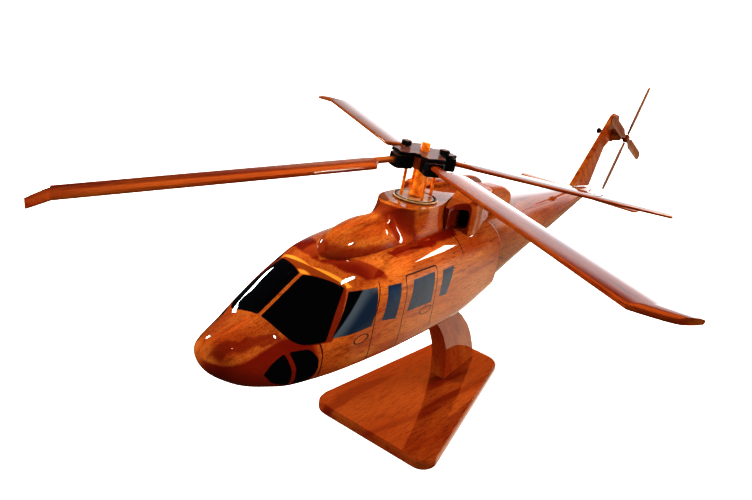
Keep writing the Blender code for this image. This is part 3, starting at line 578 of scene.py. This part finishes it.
def build_blades():
    """Four main rotor blades with swept tips."""
    tip = BLADE_R - BLADE_KINK
    neck = BLADE_NECK / BLADE_CHORD
    off = BLADE_OFFSET
    plan = ((BLADE_ROOT, 0.0, neck), (22.0, 0.0, neck), (23.6, 0.37 * off, 0.62), (25.4, 0.9 * off, 0.95),
            (27.0, off, 1.0), (90.0, off, 1.0), (BLADE_KINK, off, 1.0),
            (BLADE_KINK + 0.25 * tip, off + 1.7, 0.97), (BLADE_KINK + 0.8 * tip, off + 5.8, 0.84),
            (BLADE_R, off + BLADE_SWEEP, 0.72))
    cuts = [BLADE_ROOT, 9.5, 21.6] + spread(22.4, 28.0, 0.5)
    cuts += spread(31.0, 145.0, 9.0) + spread(146.2, BLADE_R, 0.6)
    for n, (azimuth, low) in enumerate(zip(BLADE_AZ, BLADE_TIP_Z), 1):
        rings = []
        for r in cuts:
            i = max(k for k in range(len(plan) - 1) if plan[k][0] <= r)
            a, b = plan[i], plan[i + 1]
            t = min(1.0, (r - a[0]) / (b[0] - a[0]))
            rings.append(blade_ring(r - BLADE_PIVOT, a[1] + (b[1] - a[1]) * t,
                                    BLADE_CHORD * (a[2] + (b[2] - a[2]) * t), BLADE_THICK))
        droop = math.asin((BLADE_Z - low) / (BLADE_R - BLADE_PIVOT))
        place = (AIR @ Matrix.Rotation(math.radians(azimuth), 4, "Z")
                 @ Matrix.Translation((BLADE_PIVOT * MM, 0.0, BLADE_Z * MM)) @ Matrix.Rotation(droop, 4, "Y"))
        home = place.inverted()
        shift = home.translation / MM + Vector((37.0 * n, 12.0 * n, 5.0 * n))
        lacquer = plain_wood("blade_lacquer_%d" % n, 0, home.to_euler(), shift, tone=0.66,
                             figure=1.2, stain=0.2)
        rings = [[place @ (Vector(p) * MM) / MM for p in ring] for ring in rings]
        piece("rotor_blade_%d" % n, rings, "main_rotor", "main_blade_%d" % n, lacquer,
              Matrix.Identity(4), 60.0)


def dress(names, mat, bevel=0.35, angle=34.0):
    """Give CAD nodes their material, smooth shading and softly broken edges."""
    for name in names:
        obj = NODES[name]
        mesh = obj.data
        mesh.materials.clear()
        mesh.materials.append(mat)
        if "custom_normal" in mesh.attributes:
            mesh.attributes.remove(mesh.attributes["custom_normal"])
        mesh.polygons.foreach_set("use_smooth", [True] * len(mesh.polygons))
        weld = obj.modifiers.new("weld", "WELD")
        weld.merge_threshold = 2e-6
        if bevel:
            mod = obj.modifiers.new("edge", "BEVEL")
            mod.width = bevel * MM
            mod.segments = 3
            mod.limit_method = "ANGLE"
            mod.angle_limit = math.radians(angle)
            flats = obj.modifiers.new("flats", "WEIGHTED_NORMAL")
            flats.weight = 50


def dress_nodes():
    """Materials for every CAD node that stays on show."""
    lean = AIR_TURN
    sides = ("port", "starboard")
    four = range(1, 5)
    dress(["engine_cowl_" + s for s in sides], cowl_lacquer(), 0.4)
    exhaust = plain_wood("exhaust_lacquer", 1, lean, (3, 31, 8))
    dress(["exhaust_fairing_" + s for s in sides], exhaust, 0.4)
    fin = plain_wood("fin_lacquer", 2, (math.radians(-40.0), 0.0, 0.0), (5, 2, 9))
    dress(["tail_fin"], fin, 0.5)
    stabilator = plain_wood("stabilator_lacquer", 0, lean, (7, 7, 1))
    dress(["stabilator_" + s for s in sides], stabilator, 0.3)
    tail_blade = plain_wood("tail_blade_lacquer", 2, None, (2, 1, 3), 0.55)
    dress(["tail_blade_%d" % n for n in four], tail_blade, 0.15)
    dark = plain_wood("stained_lacquer", 2, None, (9, 3, 0), 0.62)
    dress(["tail_hub", "stand_peg"] + ["tail_gearbox_" + s for s in sides], dark, 0.25)
    # Painted light: the hub core takes a raised tone so that it shows bright in the shade of the star
    dress(["hub_core"], plain_wood("hub_lacquer_painted_light", 2, None, (1, 3, 4), 1.6, 1.0, 0.4), 0.25)
    base = plain_wood("base_lacquer", 1, (0.0, 0.0, math.radians(8.0)), (60, 15, 2), tone=0.80,
                      figure=0.5, stain=0.45)
    dress(["base_plate"], base, 0.5)
    arm = plain_wood("arm_lacquer", 2, (math.radians(-30.0), 0.0, 0.0), (21, 4, 33), tone=0.72,
                     stain=0.35)
    dress(["stand_arm"], arm, 0.8)
    # The black enamel takes a brown painted highlight on its upward faces
    black = paint("black_enamel", (0.006, 0.006, 0.007), (0.016, 0.015, 0.015), 0.30, 0.6,
                  (0.16, 0.075, 0.055))
    grips = ["blade_grip_%d" % n for n in four]
    dress(grips + ["hub_star", "head_stud_a", "head_stud_b", "tail_retainer"], black, 0.3)
    intake = paint("intake_black", (0.002, 0.002, 0.002), (0.004, 0.004, 0.004), 0.5, 0.3)
    dress(["intake_" + s for s in sides], intake, 0.0)
    seal = paint("seal_black", (0.01, 0.008, 0.007), (0.03, 0.02, 0.015), 0.35, 0.4)
    dress(["collar_seal"], seal, 0.0)
    cream = paint("cream_enamel", (0.62, 0.40, 0.21), (0.50, 0.28, 0.12), 0.3, 0.8)
    dress(["collar_ring", "swash_plate"], cream, 0.1)
    copper = paint("copper_lacquer", (0.95, 0.30, 0.03), (0.62, 0.09, 0.01), 0.22, 1.0)
    dress(["rotor_mast"] + ["pitch_rod_%d" % n for n in four], copper, 0.0)
    steel = metal("plain_steel", (0.60, 0.60, 0.62), (0.42, 0.42, 0.43), 0.3, (0.05, 1.0, 1.0))
    dress(["tail_axle", "arm_screw_front", "arm_screw_rear"], steel, 0.0)


def softbox(name, toward, distance, size, power, colour=(1.0, 1.0, 1.0), seen=True,
            at=(0.0, -0.06, 0.11), beam=180.0):
    """Rectangular studio light facing the model from a direction; unseen ones give no highlight."""
    light = bpy.data.lights.new(name, "AREA")
    light.shape = "RECTANGLE"
    light.size, light.size_y = size
    light.energy = power
    light.color = colour
    light.spread = math.radians(beam)
    obj = bpy.data.objects.new(name, light)
    bpy.context.scene.collection.objects.link(obj)
    way = Vector(toward).normalized()
    obj.location = Vector(at) + way * distance
    obj.rotation_euler = way.to_track_quat("Z", "Y").to_euler()
    obj.visible_glossy = seen


def build_floor():
    """Pale floor that takes no part in highlights."""
    bpy.ops.mesh.primitive_plane_add(size=8.0, location=(0.0, 0.0, -0.0002))
    floor = bpy.context.object
    floor.name = "studio_floor"
    net = Net("pale_floor", roughness=0.9, coat=0.0)
    net.shader.inputs["Emission Color"].default_value = (1.0, 1.0, 1.0, 1.0)
    net.shader.inputs["Emission Strength"].default_value = 0.85
    cloud = net.noise(coordinates(net), (1.0, 1.0, 1.0), 0.004, 2.0)
    pale = net.mix(cloud, (0.86, 0.86, 0.86, 1.0), (0.9, 0.9, 0.9, 1.0))
    floor.data.materials.append(net.out(pale))
    floor.visible_glossy = False
    floor.visible_diffuse = False


def build_world():
    """White surroundings to the camera; a low glow, a side card and an amber patch to the lacquer."""
    world = bpy.data.worlds.new("studio")
    bpy.context.scene.world = world
    world.use_nodes = True
    tree = world.node_tree
    way = tree.nodes.new("ShaderNodeTexCoord").outputs["Generated"]
    split = tree.nodes.new("ShaderNodeSeparateXYZ")
    tree.links.new(way, split.inputs[0])

    def ramp(source, low, high, bottom, top):
        node = tree.nodes.new("ShaderNodeMapRange")
        node.interpolation_type = "SMOOTHSTEP"
        tree.links.new(source, node.inputs[0])
        for i, value in enumerate((low, high, bottom, top), 1):
            node.inputs[i].default_value = value
        return node.outputs[0]

    def calc(op, a, b):
        node = tree.nodes.new("ShaderNodeMath")
        node.operation = op
        for socket, value in zip(node.inputs, (a, b)):
            if isinstance(value, bpy.types.NodeSocket):
                tree.links.new(value, socket)
            else:
                socket.default_value = value
        return node.outputs[0]

    side, far, up = split.outputs[0], split.outputs[1], split.outputs[2]
    band = calc("MULTIPLY", ramp(up, -0.12, 0.10, 1.05, 0.42), ramp(up, 0.20, 0.34, 1.0, 0.0))
    card = calc("MULTIPLY", ramp(side, 0.0, 0.25, 2.6, 0.0), ramp(up, -0.34, -0.12, 0.0, 1.0))
    swing = calc("MULTIPLY", calc("SUBTRACT", card, 0.78), ramp(far, 0.78, 0.90, 0.0, 1.0))
    glow = calc("MULTIPLY", calc("MULTIPLY", ramp(far, 0.58, 0.84, 0.0, 1.0), band),
                calc("ADD", swing, 1.0))
    path = tree.nodes.new("ShaderNodeLightPath").outputs["Is Camera Ray"]
    hidden = calc("SUBTRACT", 1.0, path)
    warm = calc("MULTIPLY", ramp(up, 0.30, 0.42, 0.0, 1.0), ramp(up, 0.72, 0.88, 1.0, 0.0))
    warm = calc("MULTIPLY", calc("MULTIPLY", warm, ramp(far, 0.35, 0.6, 0.0, 1.0)), 1.9)
    shade = tree.nodes["Background"]
    tint = tree.nodes.new("ShaderNodeMix")
    tint.data_type = "RGBA"
    tint.inputs[6].default_value = (1.0, 0.90, 0.72, 1.0)
    tint.inputs[7].default_value = (0.86, 0.95, 1.0, 1.0)
    tree.links.new(ramp(up, -0.25, -0.08, 0.0, 1.0), tint.inputs[0])
    tree.links.new(tint.outputs[2], shade.inputs[0])
    level = calc("MAXIMUM", calc("ADD", glow, 0.03), calc("MULTIPLY", path, 1.5))
    tree.links.new(level, shade.inputs[1])
    amber = tree.nodes.new("ShaderNodeBackground")
    amber.inputs[0].default_value = (1.0, 0.27, 0.045, 1.0)
    tree.links.new(calc("MULTIPLY", warm, hidden), amber.inputs[1])
    both = tree.nodes.new("ShaderNodeAddShader")
    tree.links.new(shade.outputs[0], both.inputs[0])
    tree.links.new(amber.outputs[0], both.inputs[1])
    tree.links.new(both.outputs[0], tree.nodes["World Output"].inputs[0])


def build_lights():
    """Three softboxes that give the highlights and five fills that give none."""
    cool = (0.90, 1.0, 1.0)
    softbox("key_top", (0.13, 0.29, 0.95), 0.6, (0.06, 0.075), 0.007, cool,
            at=(0.008, -0.080, 0.118), beam=6.0)
    softbox("key_left", (-0.94, 0.33, 0.06), 1.2, (0.12, 0.10), 0.9, cool)
    softbox("key_back", (0.24, 0.90, 0.38), 1.4, (0.34, 0.13), 2.2, cool)
    for name, toward, size, power in (
        ("fill_left", (-0.88, -0.42, 0.22), 0.5, 26.0),
        ("fill_top", (-0.05, -0.30, 0.95), 0.5, 5.0),
        ("fill_right", (0.93, 0.02, 0.02), 0.5, 12.5),
        ("fill_front", (0.30, -0.90, -0.02), 0.5, 5.0),
        ("fill_back", (0.45, 0.75, 0.45), 0.6, 9.0),
    ):
        softbox(name, toward, 1.5, (size, size), power, seen=False)


def build_camera():
    """Camera and display look."""
    camera = bpy.data.objects.new("camera", bpy.data.cameras.new("camera"))
    bpy.context.scene.collection.objects.link(camera)
    camera.location = (0.158832, -0.294126, 0.253073)
    camera.rotation_euler = [math.radians(a) for a in (62.9876, -5.7338, 37.2434)]
    camera.data.lens = 35.979
    camera.data.sensor_width = 36.0
    camera.data.clip_start = 0.01
    bpy.context.scene.camera = camera
    bpy.context.scene.view_settings.view_transform = "Standard"
    bpy.context.scene.view_settings.look = "High Contrast"


build_hull()
build_pylon()
build_blades()
dress_nodes()
build_floor()
build_world()
build_lights()
build_camera()
